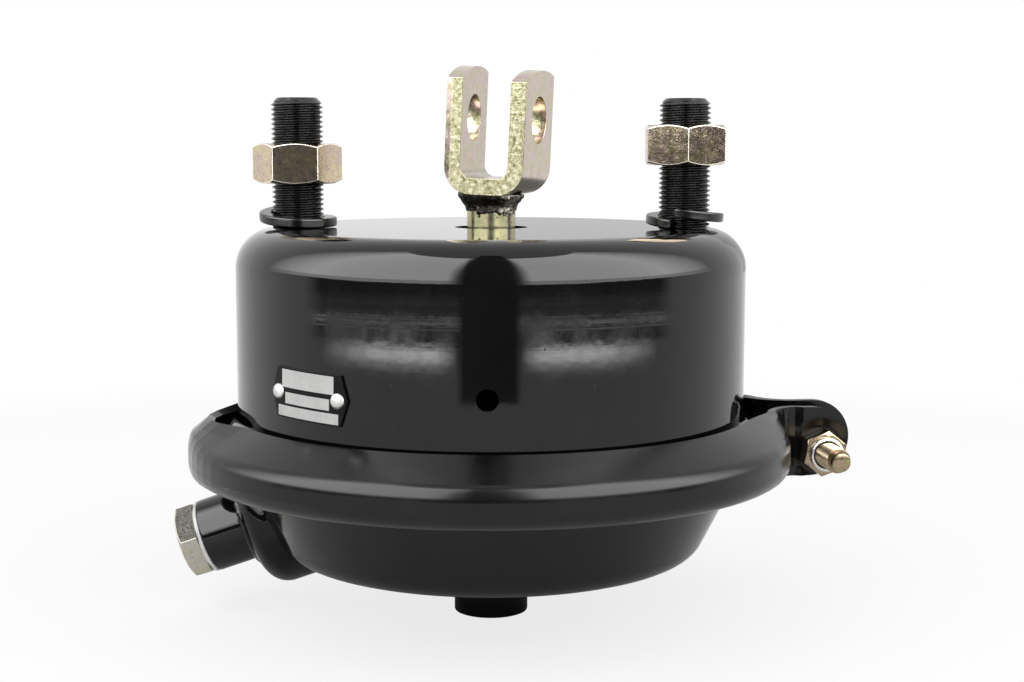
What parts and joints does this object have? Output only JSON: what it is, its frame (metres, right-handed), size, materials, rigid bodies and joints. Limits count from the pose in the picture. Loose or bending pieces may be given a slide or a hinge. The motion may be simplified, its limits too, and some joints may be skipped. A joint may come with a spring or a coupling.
{
  "type": "air brake chamber",
  "caption": "Round diaphragm air brake chamber: pressed housings held by a clamp band, mounting studs with nuts, a sprung push rod with a welded clevis, and a plugged side air port.",
  "frame": {"origin": "centre of the flat mounting face between the two studs, on the push rod's axis", "axes": "+Z along the push rod out of the chamber toward the clevis, X through the two mounting studs, +X toward the clamp band's bolted ears"},
  "size_m": [0.2184, 0.1894, 0.1729],
  "materials": {
    "housing_paint": "gloss black paint",
    "band_paint": "gloss black paint",
    "boss_paint": "gloss black paint",
    "weld_paint": "black paint over a weld bead",
    "stud_black": "satin black oxide",
    "washer_black": "satin black oxide",
    "yellow_zinc": "yellow zinc plating",
    "rod_zinc": "yellow zinc plating",
    "bolt_zinc": "yellow zinc plating",
    "plug_zinc": "bright zinc plating",
    "seal_white": "plain white plastic",
    "diaphragm_rubber": "plain black rubber",
    "inner_steel": "plain pressed steel",
    "spring_steel": "black coated wire",
    "weld_dark": "dark weld with spatter",
    "label_black": "black printed metal",
    "rivet_aluminium": "bright rivet heads"
  },
  "bodies": {
    "housing": {"upper_housing": "housing_paint", "stud_plate": "inner_steel", "mounting_stud_left": "stud_black", "mounting_stud_right": "stud_black", "lock_washer_left": "washer_black", "lock_washer_right": "washer_black", "lower_housing": "housing_paint", "clamp_band": "band_paint", "clamp_bolt": "bolt_zinc", "clamp_nut": "bolt_zinc", "centre_port_boss": "boss_paint", "centre_port_weld": "weld_paint", "side_port_boss": "boss_paint", "side_port_weld": "weld_paint", "port_plug": "plug_zinc", "port_plug_seal": "seal_white", "diaphragm": "diaphragm_rubber", "name_plate": "label_black", "name_plate_rivets": "rivet_aluminium"},
    "spring": {"return_spring": "spring_steel"},
    "rod": {"push_plate": "inner_steel", "push_plate_weld": "weld_dark", "push_rod": "rod_zinc", "clevis": "yellow_zinc", "clevis_weld": "weld_dark"},
    "left_nut": {"stud_nut_left": "yellow_zinc"},
    "right_nut": {"stud_nut_right": "yellow_zinc"}
  },
  "joints": [
    {"name": "rod_turn", "type": "hinge", "parent": "housing", "child": "spring", "pos_m": [0, 0, 0], "axis": [0, 0, 1], "continuous": true},
    {"name": "rod_stroke", "type": "slide", "parent": "spring", "child": "rod", "axis": [0, 0, 1], "range_m": [0, 0.064], "stiffness_N_per_m": 1900, "springref_m": -0.058, "deforming": ["return_spring", "diaphragm"]},
    {"name": "left_nut_travel", "type": "slide", "parent": "housing", "child": "left_nut", "axis": [0, 0, 1], "range_m": [-0.0066, 0.012]},
    {"name": "right_nut_travel", "type": "slide", "parent": "housing", "child": "right_nut", "axis": [0, 0, 1], "range_m": [-0.0125, 0.0062]}
  ]
}
